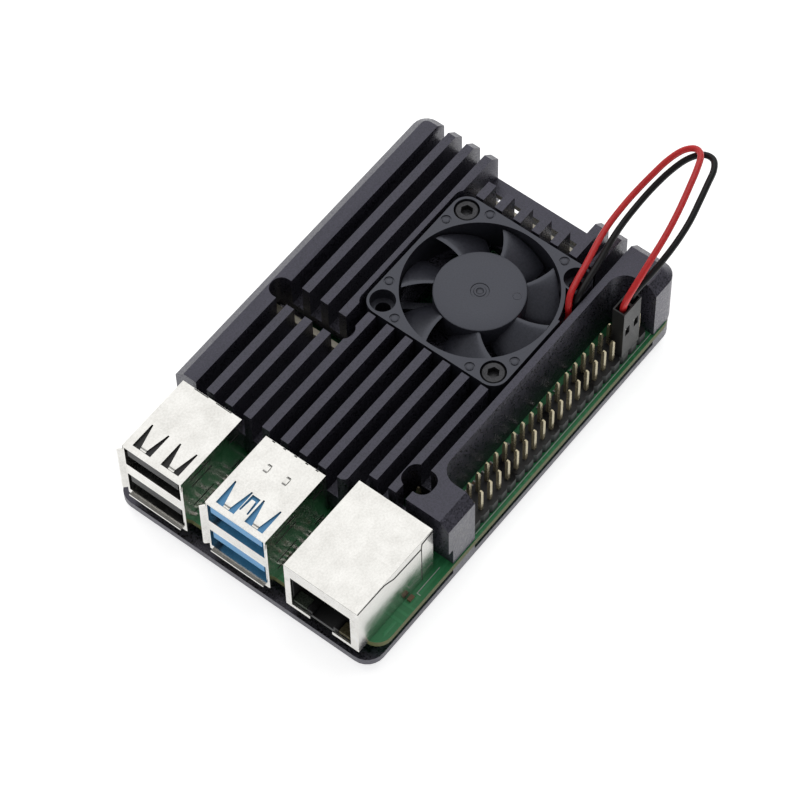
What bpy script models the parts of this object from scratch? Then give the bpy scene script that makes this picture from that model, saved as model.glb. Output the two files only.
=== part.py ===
"""Single board computer in a finned aluminium case with a 30 mm fan on top.

Sizes are millimetres on the board: x runs from the card end to the socket end, y from the
power socket's edge to the pin header's edge, and z is 0 on the board's upper face.
"""

import math

import bmesh
import bpy
from mathutils import Matrix, Vector

MM = 0.001
CLEAR = 0.05  # gap between pieces that rest on each other
SMOOTH_BELOW = math.radians(30)  # faces that meet at less than this are one round surface

# Circuit board
BOARD_L, BOARD_W, BOARD_T = 85.0, 56.0, 1.4
BOARD_R = 3.0
HOLES = [(3.5, 3.5), (61.5, 3.5), (3.5, 52.5), (61.5, 52.5)]
HOLE_R = 1.35
THREAD_R = 1.35  # the tapped holes in the case, at half the thread's depth

# Case: outer faces, heights and the 45 degree chamfer round its rim
CASE_X0, CASE_Y0, CASE_Y1 = -0.9, -1.0, 55.8
COVER_X1, COVER_X1_JACK, JACK_STEP_Y = 69.3, 65.7, 36.6
COVER_TOP, FLOOR_TOP, FLOOR_UNDER = 14.2, 7.1, 5.2
LEDGE_TOP = 6.4
BASE_X1, BASE_TOP, BASE_BOTTOM = 87.5, -3.2, -6.7
CHAMFER = 1.9
CORNER_R = 3.0

# Fins: a wide one along the power socket's side, then ten narrow ones at an even pitch
EDGE_FIN_Y1 = 3.71
FIN_FIRST, FIN_PITCH, FIN_T, FIN_COUNT = 6.93, 4.09, 1.66, 10
WALL_Y0, NOTCH_Y0 = 46.64, 48.0
NOTCH_X0, NOTCH_X1, NOTCH_R = 6.0, 58.4, 3.5

# Fan
FAN_X, FAN_Y, FAN_SIZE, FAN_H = 24.4, 31.0, 30.0, 7.0
FAN_Z0 = FLOOR_TOP + CLEAR
FAN_TOP = FAN_Z0 + FAN_H
FAN_HOLE = 12.1  # from the fan's centre to its corner holes, along x and y
BORE_R, HUB_R = 14.2, 8.4
BLADES, BLADE_SPAN = 7, math.radians(39)
POCKET = (8.9, 39.86, 15.3, WALL_Y0)

# Header, sockets and their overhangs past the board
PIN_PITCH, PIN_W, PIN_TIP = 2.54, 0.64, 8.51
HEADER_X, HEADER_Y = 32.5, 52.5
USB_X0, USB_X1, USB_FRONT, USB_HALF, USB_TOP = 70.95, 87.3, 88.0, 6.5, 15.71
USB_CENTRES = {"usb2": 8.9, "usb3": 27.2}
NET_BOX = (67.1, 87.75, 37.8, 53.54, CLEAR, 13.3)
JACK_OUT, CARD_OUT = 2.5, 2.4

# The origin is below the middle of the whole object, without the fan's leads and their plug
ORIGIN = Vector(((USB_FRONT - CARD_OUT) / 2, (BOARD_W - JACK_OUT) / 2, BASE_BOTTOM))

# Colours and finishes: base colour, roughness, metallic
FINISHES = {
    "black_anodised": ((0.045, 0.043, 0.052), 0.55, 0.6),
    "tin": ((0.72, 0.71, 0.68), 0.28, 1.0),
    "steel": ((0.12, 0.12, 0.125), 0.35, 0.9),
    "gold": ((0.78, 0.68, 0.42), 0.3, 1.0),
    "board_green": ((0.02, 0.16, 0.06), 0.4, 0.0),
    "black_plastic": ((0.02, 0.02, 0.022), 0.5, 0.0),
    "fan_plastic": ((0.05, 0.052, 0.06), 0.45, 0.0),
    "cream_plastic": ((0.75, 0.72, 0.62), 0.5, 0.0),
    "blue_plastic": ((0.05, 0.22, 0.5), 0.4, 0.0),
    "chip_black": ((0.03, 0.03, 0.03), 0.6, 0.0),
    "copper": ((0.6, 0.28, 0.14), 0.4, 1.0),
    "grey_pad": ((0.45, 0.5, 0.55), 0.8, 0.0),
    "magnet": ((0.08, 0.075, 0.07), 0.6, 0.2),
    "red_cable": ((0.5, 0.02, 0.02), 0.4, 0.0),
    "black_cable": ((0.015, 0.015, 0.016), 0.4, 0.0),
    "lamp_green": ((0.1, 0.6, 0.15), 0.3, 0.0),
    "lamp_amber": ((0.75, 0.55, 0.08), 0.3, 0.0),
}

for old in list(bpy.data.objects):
    bpy.data.objects.remove(old, do_unlink=True)

PARTS = bpy.data.collections.new("single_board_computer")
CUTTERS = bpy.data.collections.new("cutters")
for group in (PARTS, CUTTERS):
    bpy.context.scene.collection.children.link(group)


# ---------------------------------------------------------------- helpers
def new_object(name, bm):
    """An object whose mesh is in board sizes, placed so that the origin is where ORIGIN says."""
    mesh = bpy.data.meshes.new(name)
    bm.to_mesh(mesh)
    bm.free()
    obj = bpy.data.objects.new(name, mesh)
    obj.location = -ORIGIN * MM
    CUTTERS.objects.link(obj)
    obj.hide_render = True
    obj.display_type = "WIRE"
    return obj


def finish(obj, look):
    """Turns a shape into a part: its cuts made, its round faces smooth, and its finish on it."""
    if obj.modifiers:
        shaped = obj.evaluated_get(bpy.context.evaluated_depsgraph_get())
        obj.data = bpy.data.meshes.new_from_object(shaped)
        obj.modifiers.clear()
    if obj.type == "MESH":
        obj.data.shade_smooth()
        obj.data.set_sharp_from_angle(angle=SMOOTH_BELOW)
    CUTTERS.objects.unlink(obj)
    PARTS.objects.link(obj)
    obj.hide_render = False
    obj.display_type = "TEXTURED"
    colour, roughness, metallic = FINISHES[look]
    material = bpy.data.materials.new(f"{obj.name}_{look}")
    material.use_nodes = True
    shader = material.node_tree.nodes["Principled BSDF"]
    shader.inputs["Base Color"].default_value = (*colour, 1.0)
    shader.inputs["Roughness"].default_value = roughness
    shader.inputs["Metallic"].default_value = metallic
    obj.data.materials.clear()
    obj.data.materials.append(material)
    return obj


def boxes(name, *spans):
    """One mesh of separate boxes, each given as x0, x1, y0, y1, z0, z1."""
    bm = bmesh.new()
    for x0, x1, y0, y1, z0, z1 in spans:
        size = Vector((x1 - x0, y1 - y0, z1 - z0)) * MM
        middle = Vector((x0 + x1, y0 + y1, z0 + z1)) * MM / 2
        place = Matrix.Translation(middle) @ Matrix.Diagonal((*size, 1.0))
        bmesh.ops.create_cube(bm, size=1.0, matrix=place)
    return new_object(name, bm)


def drums(name, centres, radius, z0, z1, sides=48, top_radius=None):
    """One mesh of separate upright cylinders, or cones where the top radius differs."""
    bm = bmesh.new()
    for x, y in centres:
        place = Matrix.Translation(Vector((x, y, (z0 + z1) / 2)) * MM)
        bmesh.ops.create_cone(
            bm, cap_ends=True, segments=sides, radius1=radius * MM,
            radius2=(radius if top_radius is None else top_radius) * MM,
            depth=(z1 - z0) * MM, matrix=place,
        )
    return new_object(name, bm)


def barrel(name, x, z, radius, y0, y1, sides=48):
    """A cylinder lying along y."""
    bm = bmesh.new()
    place = Matrix.Translation(Vector((x, (y0 + y1) / 2, z)) * MM) @ Matrix.Rotation(math.pi / 2, 4, "X")
    bmesh.ops.create_cone(
        bm, cap_ends=True, segments=sides, radius1=radius * MM, radius2=radius * MM,
        depth=(y1 - y0) * MM, matrix=place,
    )
    return new_object(name, bm)


def rounded(corners, steps=6):
    """The outline through corners of (x, y, radius), with each corner turned into an arc."""
    outline = []
    for i, (x, y, radius) in enumerate(corners):
        corner = Vector((x, y))
        if not radius:
            outline.append(corner)
            continue
        back = (Vector(corners[i - 1][:2]) - corner).normalized()
        ahead = (Vector(corners[(i + 1) % len(corners)][:2]) - corner).normalized()
        half = back.angle(ahead) / 2
        centre = corner + (back + ahead).normalized() * radius / math.sin(half)
        start = corner + back * radius / math.tan(half) - centre
        end = corner + ahead * radius / math.tan(half) - centre
        turn = start.angle_signed(end)
        for step in range(steps + 1):
            swing = Matrix.Rotation(-turn * step / steps, 2)
            outline.append(centre + swing @ start)
    return outline


def slab(name, outlines, low, high, along="Z"):
    """Flat outlines as a filled 2D curve, extruded from low to high along Z or along Y."""
    curve = bpy.data.curves.new(name, "CURVE")
    curve.dimensions = "2D"
    curve.fill_mode = "BOTH"
    curve.extrude = (high - low) * MM / 2
    for outline in outlines:
        spline = curve.splines.new("POLY")
        spline.points.add(len(outline) - 1)
        for point, (x, y) in zip(spline.points, outline):
            point.co = (x * MM, y * MM, 0.0, 1.0)
        spline.use_cyclic_u = True
    holder = bpy.data.objects.new(name, curve)
    CUTTERS.objects.link(holder)
    mesh = bpy.data.meshes.new_from_object(holder)
    bpy.data.objects.remove(holder)
    bpy.data.curves.remove(curve)
    bm = bmesh.new()
    bm.from_mesh(mesh)
    bpy.data.meshes.remove(mesh)
    bmesh.ops.remove_doubles(bm, verts=bm.verts, dist=0.00001)
    middle = (low + high) * MM / 2
    place = Matrix.Translation((0, 0, middle))
    if along == "Y":
        place = Matrix.Translation((0, middle, 0)) @ Matrix.Rotation(math.pi / 2, 4, "X")
    bm.transform(place)
    bmesh.ops.recalc_face_normals(bm, faces=bm.faces)
    return new_object(name, bm)


def oblong(x0, x1, y0, y1, radius, steps=6):
    """A rounded rectangle's outline."""
    return rounded([(x0, y0, radius), (x1, y0, radius), (x1, y1, radius), (x0, y1, radius)], steps)


def combine(target, operation, *others):
    for other in others:
        step = target.modifiers.new(other.name, "BOOLEAN")
        step.operation = operation
        step.solver = "EXACT"
        step.object = other


def cut(target, *others):
    combine(target, "DIFFERENCE", *others)


def join(target, *others):
    combine(target, "UNION", *others)


def chamfer(obj, chosen, width):
    """Cuts a 45 degree chamfer on the sharp edges that chosen(a, b) picks, in board sizes."""
    bm = bmesh.new()
    bm.from_mesh(obj.data)
    bmesh.ops.dissolve_limit(bm, angle_limit=0.001, verts=bm.verts, edges=bm.edges)
    sharp = [e for e in bm.edges if e.calc_face_angle(0.0) > math.radians(60)]
    edges = [e for e in sharp if chosen(e.verts[0].co / MM, e.verts[1].co / MM)]
    bmesh.ops.bevel(
        bm, geom=edges, offset=width * MM, offset_type="OFFSET", segments=1, affect="EDGES",
        clamp_overlap=False,
    )
    bm.to_mesh(obj.data)
    bm.free()


def hang(name, x, y, z, *children):
    """Parents moving pieces to an empty on their joint's axis."""
    pivot = bpy.data.objects.new(name, None)
    pivot.empty_display_size = 4 * MM
    pivot.location = (Vector((x, y, z)) - ORIGIN) * MM
    PARTS.objects.link(pivot)
    bpy.context.view_layer.update()
    for child in children:
        child.parent = pivot
        child.matrix_parent_inverse = pivot.matrix_world.inverted()


def fin_edges():
    """The low and high face of each narrow fin."""
    middles = [FIN_FIRST + FIN_PITCH * i for i in range(FIN_COUNT)]
    return [(y - FIN_T / 2, y + FIN_T / 2) for y in middles]


# ---------------------------------------------------------------- case
def heatsink_cover():
    outline = rounded([
        (CASE_X0, CASE_Y0, CORNER_R), (COVER_X1, CASE_Y0, 0), (COVER_X1, JACK_STEP_Y, 1.5),
        (COVER_X1_JACK, JACK_STEP_Y, 0), (COVER_X1_JACK, CASE_Y1, 0), (CASE_X0, CASE_Y1, CORNER_R),
    ])
    cover = slab("heatsink_cover", [outline], CLEAR, COVER_TOP)

    def rim(a, b):
        top = min(a.z, b.z) > COVER_TOP - 0.01
        level = abs(a.z - b.z) < 0.01
        middle = (a + b) / 2
        card_end = middle.x < CASE_X0 + CORNER_R
        long_side = not CASE_Y0 + CORNER_R < middle.y < CASE_Y1 - CORNER_R
        return top and level and (card_end or long_side)

    chamfer(cover, rim, CHAMFER)
    fins = fin_edges()
    walls = [(CASE_Y0, EDGE_FIN_Y1), *fins, (WALL_Y0, NOTCH_Y0)]
    grooves = [(-5, 75, low[1], high[0], FLOOR_TOP, 20) for low, high in zip(walls, walls[1:])]
    ledge_y0, ledge_y1 = fins[2][1], fins[8][0]
    x0, x1, y0, y1 = POCKET
    notch = rounded([
        (NOTCH_X0, NOTCH_Y0, NOTCH_R), (NOTCH_X1, NOTCH_Y0, NOTCH_R), (NOTCH_X1, 60, 0), (NOTCH_X0, 60, 0),
    ], 10)
    cut(
        cover,
        boxes("cover_grooves", *grooves),
        slab("cover_fan_pocket", [oblong(x0, x1, y0, y1, 2.0)], FLOOR_TOP, 20),
        boxes("cover_card_ledge", (-5, 5.1, ledge_y0, ledge_y1, LEDGE_TOP, 20)),
        slab("cover_pin_notch", [notch], -1, 20),
        slab("cover_camera_slot", [oblong(43.04, 47.32, 1.05, 19.1, 2.0, 8)], -1, 20),
        slab("cover_key_hole", [oblong(58.7, 63.75, 43.07, 49.2, 2.1, 8)], -1, 20),
        # the hollow over the board: main room, card end, and the way out under the ledge
        boxes("cover_room_main", (7.2, 67.8, 1.0, 45.64, -1, FLOOR_UNDER)),
        boxes("cover_room_card_end", (0.9, 7.3, 7.2, 45.64, -1, FLOOR_UNDER)),
        boxes("cover_display_way", (-5, 1.0, 16.4, 38.4, -1, FLOOR_UNDER)),
        boxes("cover_display_slot", (2.06, 5.1, 16.2, 38.5, -1, 20)),
        boxes("cover_display_recess", (2.3, 5.9, 16.6, 39.5, -1, 6.7)),
        boxes("cover_camera_recess", (43.6, 47.4, 0.2, 22.9, -1, 6.7)),
        boxes("cover_audio_recess", (50.1, 57.9, -2, 12.8, -1, 6.3)),
        boxes("cover_header_recess", (58.2, 64.3, 42.8, 49.4, -1, FLOOR_UNDER)),
        boxes("cover_foot_step", (64.5, 70, 49.6, 60, -1, 4.9)),
        # ways out for the sockets on the power side, and two small windows for the lamps
        boxes(
            "cover_socket_ways", (6.3, 16.3, -2, 6.5, -1, 4.6), (21.9, 30.1, -2, 1.1, -1, 4.6),
            (35.4, 43.5, -2, 1.1, -1, 4.6), (49.9, 58.1, -2, 1.1, -1, 6.3),
        ),
        boxes("cover_lamp_windows", (-5, 1.0, 7.8, 9.2, -1, 2.0), (-5, 1.0, 11.1, 12.5, -1, 2.0)),
        boxes("cover_socket_end", (67.7, 75, 3.0, 35.0, -1, 2.2)),
    )
    processor = (21.2, 37.2, 24.7, 40.3, 3.2, 5.4)
    memory = (39.4, 49.6, 25.2, 39.8, 2.0, 5.4)
    join(
        cover,
        boxes("cover_pillars", processor, memory),
        drums("cover_post", [HOLES[1]], 3.2, CLEAR, 5.5),
    )
    # air holes under the fan, screw holes, and threads for the case screws
    vents = []
    for low, high in zip(fins[3:8], fins[4:9]):
        vents.append((11.6, 20.4, low[1], high[0], 3, 9))
    threads = [(FAN_X + side * FAN_HOLE, FAN_Y + side * FAN_HOLE) for side in (-1, 1)]
    cut(
        cover,
        boxes("cover_vents", *vents, (22, 34, 40.6, 42.6, 3, 9), (22, 34, 20.6, 23.2, 3, 9)),
        drums("cover_fan_threads", threads, THREAD_R, 3, 9),
        drums("cover_case_threads", HOLES, THREAD_R, -1, 4.6),
    )
    return finish(cover, "black_anodised")


def base_plate():
    outline = oblong(CASE_X0, BASE_X1, CASE_Y0, CASE_Y1, CORNER_R + 0.5)
    base = slab("base_plate", [outline], BASE_BOTTOM, -BOARD_T - CLEAR)
    chamfer(base, lambda a, b: max(a.z, b.z) < BASE_BOTTOM + 0.01, CHAMFER)
    post_x0, post_x1 = 58.4, 64.5
    cut(
        base,
        boxes("base_between_posts", (NOTCH_X0, post_x0, -5, 60, BASE_TOP, 0)),
        boxes("base_past_posts", (post_x1, 95, -5, 60, BASE_TOP, 0)),
        boxes("base_card_side", (-5, NOTCH_X0 + 1, 7, 49, BASE_TOP, 0)),
        boxes("base_middle", (post_x0 - 1, post_x1 + 1, 7, 49, BASE_TOP, 0)),
        boxes("base_room", (8, 56.4, 1.2, 53.8, -4.4, 0)),
        boxes("base_room_socket_end", (66.6, 85.3, 1.2, 53.8, -4.4, 0)),
        boxes("base_room_across", (1.2, 85.2, 9, 47, -4.4, 0)),
        slab("base_finger_notch", [oblong(-6, 2.2, 21.5, 34.5, 2.0)], -8, 0),
        drums("base_screw_holes", HOLES, HOLE_R, -8, 0),
        drums("base_head_holes", HOLES, 2.4, -8, -4.1),
    )
    return finish(base, "black_anodised")


def socket_screw(name, x, y, head_top, tip, upside_down=False):
    """A cap screw with a hexagon socket: head 4.4 across and 2.4 high on a 2.5 shank."""
    head_h, head_r, shank_r, socket_r, socket_depth = 2.4, 2.2, 1.25, 1.155, 1.3
    sign = -1 if upside_down else 1
    under = head_top - sign * head_h
    low, high = sorted((head_top, under))
    screw = drums(name, [(x, y)], head_r, low, high, 36)
    chamfer(screw, lambda a, b: max(abs(a.z - head_top), abs(b.z - head_top)) < 0.01, 0.25)
    shank_low, shank_high = sorted((under + sign * 0.2, tip))
    socket_low, socket_high = sorted((head_top - sign * socket_depth, head_top + sign))
    join(screw, drums(f"{name}_shank", [(x, y)], shank_r, shank_low, shank_high, 24))
    cut(screw, drums(f"{name}_socket", [(x, y)], socket_r, socket_low, socket_high, 6))
    return finish(screw, "steel")


# ---------------------------------------------------------------- board and what sits on it
def circuit_board():
    board = slab("circuit_board", [oblong(0, BOARD_L, 0, BOARD_W, BOARD_R)], -BOARD_T, 0)
    cut(board, drums("board_holes", HOLES, HOLE_R, -3, 2))
    return finish(board, "board_green")


def pin_header(name, centre_x, centre_y, columns):
    """Two rows of square pins with tapered tips, moulded into one plastic bar."""
    first_x, last_x = centre_x - columns * PIN_PITCH / 2, centre_x + columns * PIN_PITCH / 2
    near_y, far_y = centre_y - PIN_PITCH, centre_y + PIN_PITCH
    bar = boxes(name, (first_x, last_x, near_y, far_y, CLEAR, PIN_PITCH))
    gap_half, gap_depth = 0.25, 0.45
    gaps = []
    for i in range(1, columns):
        x = first_x + i * PIN_PITCH
        gaps.append((x - gap_half, x + gap_half, near_y - 1, near_y + gap_depth, -1, 4))
        gaps.append((x - gap_half, x + gap_half, far_y - gap_depth, far_y + 1, -1, 4))
    cut(bar, boxes(f"{name}_gaps", *gaps))
    places = [
        (first_x + PIN_PITCH * (i + 0.5), centre_y + side * PIN_PITCH / 2)
        for i in range(columns) for side in (-1, 1)
    ]
    bm = bmesh.new()
    taper, half = 0.5, PIN_W / 2
    low, high = 2.0, PIN_TIP
    for x, y in places:
        place = Matrix.Translation(Vector((x, y, (low + high) / 2)) * MM)
        place = place @ Matrix.Diagonal((PIN_W * MM, PIN_W * MM, (high - low) * MM, 1.0))
        made = bmesh.ops.create_cube(bm, size=1.0, matrix=place)
        for vert in made["verts"]:
            if vert.co.z > (high - 0.01) * MM:
                vert.co.x = x * MM + math.copysign(half * 0.45 * MM, vert.co.x - x * MM)
                vert.co.y = y * MM + math.copysign(half * 0.45 * MM, vert.co.y - y * MM)
    cutter_loops = [e for e in bm.edges if abs(e.verts[0].co.z - e.verts[1].co.z) > MM]
    bmesh.ops.subdivide_edges(bm, edges=cutter_loops, cuts=1)
    for vert in bm.verts:
        if 3 * MM < vert.co.z < (PIN_TIP - 1) * MM:
            x, y = min(places, key=lambda p: (p[0] * MM - vert.co.x) ** 2 + (p[1] * MM - vert.co.y) ** 2)
            vert.co = Vector((
                x * MM + math.copysign(half * MM, vert.co.x - x * MM),
                y * MM + math.copysign(half * MM, vert.co.y - y * MM),
                (PIN_TIP - taper) * MM,
            ))
    join(bar, new_object(f"{name}_pins", bm))
    return finish(bar, "black_plastic")


def spring_cut(y):
    """The slot round one contact spring: the spring is a tongue that narrows towards the front."""
    back, front, tip = 81.0, 86.2, 85.5
    root_half, tip_half, slit = 1.95, 0.65, 0.3
    neck = root_half - slit
    return [
        (back, y - root_half), (front, y - root_half), (front, y + root_half), (back, y + root_half),
        (back, y + neck), (tip, y + tip_half), (tip, y - tip_half), (back, y - neck),
    ]


def earth_cut(y):
    """The slot round the small earth tab between the springs: it opens towards the front."""
    back, front, outer, inner = 81.3, 84.9, 0.95, 0.4
    return [
        (back, y - outer + 0.1), (front, y - outer), (front, y - outer + 0.3), (back + 0.8, y - inner),
        (back + 0.8, y + inner), (front, y + outer - 0.3), (front, y + outer), (back, y + outer - 0.1),
    ]


def usb_stack(kind, look):
    """A tin shell with two ports and flared front wings, and the plastic core with two tongues."""
    y = USB_CENTRES[kind]
    wall, port_h, low_port, high_port = 0.4, 5.4, 1.4, 9.9
    inner = USB_HALF - wall
    shell = boxes(f"{kind}_shell", (USB_X0, USB_X1, y - USB_HALF, y + USB_HALF, CLEAR, USB_TOP))
    wings = []
    for side in (-1, 1):
        wings.append([
            (USB_X1 - 0.6, y + side * (USB_HALF - 0.2)), (USB_X1 - 0.2, y + side * (USB_HALF - 0.38)),
            (USB_FRONT, y + side * (USB_HALF + 0.55)), (USB_FRONT - 0.05, y + side * (USB_HALF + 0.9)),
        ])
    lip = [
        (USB_X1 - 0.7, 0.2), (USB_X1 - 0.3, 0.2), (USB_FRONT, 0.5), (USB_FRONT, 0.9),
        (USB_X1 - 0.3, 0.6), (USB_X1 - 0.7, 0.6),
    ]
    join(
        shell,
        slab(f"{kind}_wings", wings, 1.9, USB_TOP - 1.2),
        slab(f"{kind}_lip", [lip], y - 5.8, y + 5.8, "Y"),
    )
    room_x = 72.6
    springs = [spring_cut(y + side * 3.1) for side in (-1, 1)]
    if kind == "usb3":
        springs.append(earth_cut(y - 0.1))
    ports, tongues = [], []
    for floor in (low_port, high_port):
        roof = floor + port_h
        ports.append((room_x, 95, y - inner, y + inner, floor, roof))
        tongues.append((room_x - 0.6, USB_X1 - 0.2, y - 5.6, y + 5.6, roof - 2.5, roof - 0.1))
    cut(
        shell,
        boxes(f"{kind}_ports", *ports),
        boxes(f"{kind}_back_room", (USB_X0 + wall, 72.8, y - inner, y + inner, -1, USB_TOP - wall)),
        slab(f"{kind}_spring_cuts", springs, USB_TOP - 1, USB_TOP + 1),
    )
    finish(shell, "tin")
    half, back = inner - 0.1, USB_X0 + wall + 0.1
    core = boxes(f"{kind}_core", (back, room_x - 0.1, y - half, y + half, CLEAR, 15.1))
    join(core, boxes(f"{kind}_tongues", *tongues))
    finish(core, look)


def network_jack():
    x0, x1, y0, y1, z0, z1 = NET_BOX
    wall, side = 0.35, 1.3
    shell = boxes("network_shell", NET_BOX)
    cut(
        shell,
        boxes("network_room", (x0 + wall, x1 - wall, y0 + wall, y1 - wall, -1, z1 - wall)),
        boxes("network_mouth", (80, 95, y0 + side, y1 - side - 0.4, 0.9, 10.1)),
        boxes("network_key", (80, 95, 43.0, 47.8, -1, 2.0)),
    )
    finish(shell, "tin")
    core = boxes("network_core", (x0 + 0.5, x1 - 0.5, y0 + 0.5, y1 - 0.5, CLEAR, z1 - 0.5))
    cut(
        core,
        boxes("network_hollow", (72, 95, y0 + side + 0.1, y1 - side - 0.5, 1.9, 10.0)),
        boxes("network_key_room", (75, 95, 43.1, 47.7, 0.9, 2.5)),
        boxes("network_lamp_room_1", (84.9, 95, 38.9, 42.0, 0.95, 3.0)),
        boxes("network_lamp_room_2", (84.9, 95, 48.8, 52.0, 0.95, 3.0)),
    )
    finish(core, "black_plastic")
    finish(boxes("network_lamp_green", (85.1, 87.2, 39.0, 41.9, 1.05, 1.8)), "lamp_green")
    finish(boxes("network_lamp_amber", (85.1, 87.2, 48.9, 51.9, 1.05, 1.8)), "lamp_amber")


def tapered(x, half_w, low, high, slope):
    """The outline of a micro socket: a rectangle with its two lower corners cut off."""
    return [
        (x - half_w + slope, low), (x + half_w - slope, low), (x + half_w, low + slope),
        (x + half_w, high), (x - half_w, high), (x - half_w, low + slope),
    ]


def edge_socket(name, x, half_w, height, front, back, wall, tongue):
    """A folded tin socket on the board's power side, with its contact tongue as a second piece."""
    low, high = CLEAR, CLEAR + height
    if half_w > 4:
        outer = oblong(x - half_w, x + half_w, low, high, height / 2 - 0.02, 8)
        half_in, low_in, high_in = half_w - wall, low + wall, high - wall
        inner = oblong(x - half_in, x + half_in, low_in, high_in, height / 2 - wall - 0.02, 8)
    else:
        slope = 0.9
        outer = tapered(x, half_w, low, high, slope)
        inner = tapered(x, half_w - wall, low + wall, high - wall, slope - wall / 2)
    shell = slab(f"{name}_shell", [outer], front, back, "Y")
    cut(shell, slab(f"{name}_mouth", [inner], front - 1, back - 0.4, "Y"))
    finish(shell, "tin")
    half_t, low_t, high_t = tongue
    bar = boxes(f"{name}_tongue", (x - half_t, x + half_t, front + 0.5, back - 0.5, low_t, high_t))
    finish(bar, "black_plastic")


def audio_jack():
    x = 54.0
    body = boxes("audio_jack", (x - 3.5, x + 3.5, 0, 12.2, CLEAR, 5.95))
    join(body, barrel("audio_nose", x, 3.0, 2.9, -JACK_OUT, 1.0))
    cut(body, barrel("audio_bore", x, 3.0, 1.8, -5, 10.5))
    finish(body, "black_plastic")


def ribbon_connector(kind, x0, x1, y0, y1):
    """A flat-cable connector: a cream body with a slot, and a latch bar that lifts to free the cable."""
    top, seat, bar_w = 5.5, 4.2, 1.3
    body = boxes(f"{kind}_connector", (x0, x1, y0, y1, CLEAR, top))
    bar_x0, bar_x1 = x1 - bar_w, x1
    cut(
        body,
        boxes(f"{kind}_latch_seat", (bar_x0 - 0.1, x1 + 1, y0 - 1, y1 + 1, seat, 9)),
        boxes(f"{kind}_cable_slot", (bar_x0 - 0.55, bar_x0, y0 + 1.5, y1 - 1.5, 1.0, 9)),
    )
    finish(body, "cream_plastic")
    bar = boxes(f"{kind}_latch", (bar_x0, bar_x1, y0 + 0.2, y1 - 0.2, seat + CLEAR, top - CLEAR))
    latch = finish(bar, "chip_black")
    hang(f"{kind}_latch_slide", (bar_x0 + bar_x1) / 2, (y0 + y1) / 2, top, latch)


def card_socket():
    cage = boxes("card_socket", (1.2, 14.2, 21.2, 34.8, -3.0, -BOARD_T - CLEAR))
    cut(cage, boxes("card_room", (-1, 13.4, 22.1, 33.9, -2.85, -1.65)))
    finish(cage, "tin")
    card = slab("memory_card", [rounded([
        (-CARD_OUT, 22.5, 0.6), (12.6, 22.5, 0.6), (12.6, 32.1, 0.4), (11.2, 33.5, 0.4), (7.0, 33.5, 0.3),
        (6.2, 32.8, 0.2), (-CARD_OUT, 32.8, 0.6),
    ], 4)], -2.65, -1.9)
    finish(card, "chip_black")
    hang("memory_card_slide", 5.0, 28.0, -2.3, card)


def chips():
    """Packages on the board, and the pads that carry heat from two of them to the cover."""
    processor = boxes("processor", (21.75, 36.75, 25.0, 40.0, CLEAR, 1.4))
    join(processor, slab("processor_lid", [oblong(22.75, 35.75, 26.0, 39.0, 0.8)], 1.2, 2.4))
    finish(processor, "steel")
    finish(boxes("memory_chip", (39.6, 49.4, 25.4, 39.6, CLEAR, 1.1)), "chip_black")
    finish(boxes("usb_chip", (53.5, 61.5, 24.0, 32.0, CLEAR, 0.9)), "chip_black")
    finish(boxes("network_chip", (50.5, 57.5, 36.8, 43.8, CLEAR, 0.9)), "chip_black")
    finish(boxes("power_chip", (8.4, 13.4, 9.4, 14.4, CLEAR, 0.9)), "chip_black")
    finish(boxes("power_coil", (14.6, 18.6, 9.8, 13.8, CLEAR, 2.1)), "magnet")
    shield = slab("radio_shield", [oblong(6.4, 17.6, 35.0, 45.0, 0.8)], CLEAR, 1.55)
    finish(shield, "tin")
    finish(boxes("processor_pad", (22.2, 36.3, 25.5, 39.5, 2.45, 3.15)), "grey_pad")
    finish(boxes("memory_pad", (40.0, 49.0, 26.0, 39.0, 1.15, 1.95)), "grey_pad")
    finish(boxes("power_lamp", (0.2, 1.2, 8.1, 8.9, CLEAR, 0.7)), "lamp_amber")
    finish(boxes("activity_lamp", (0.2, 1.2, 11.4, 12.2, CLEAR, 0.7)), "lamp_green")


# ---------------------------------------------------------------- fan
def spoke(angle, near, far, half_w):
    """A bar's outline that runs out from the fan's centre at an angle in degrees."""
    turn = Matrix.Rotation(math.radians(angle), 2)
    ends = [turn @ Vector(p) for p in ((near, -half_w), (far, -half_w), (far, half_w), (near, half_w))]
    return [(FAN_X + p.x, FAN_Y + p.y) for p in ends]


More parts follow.
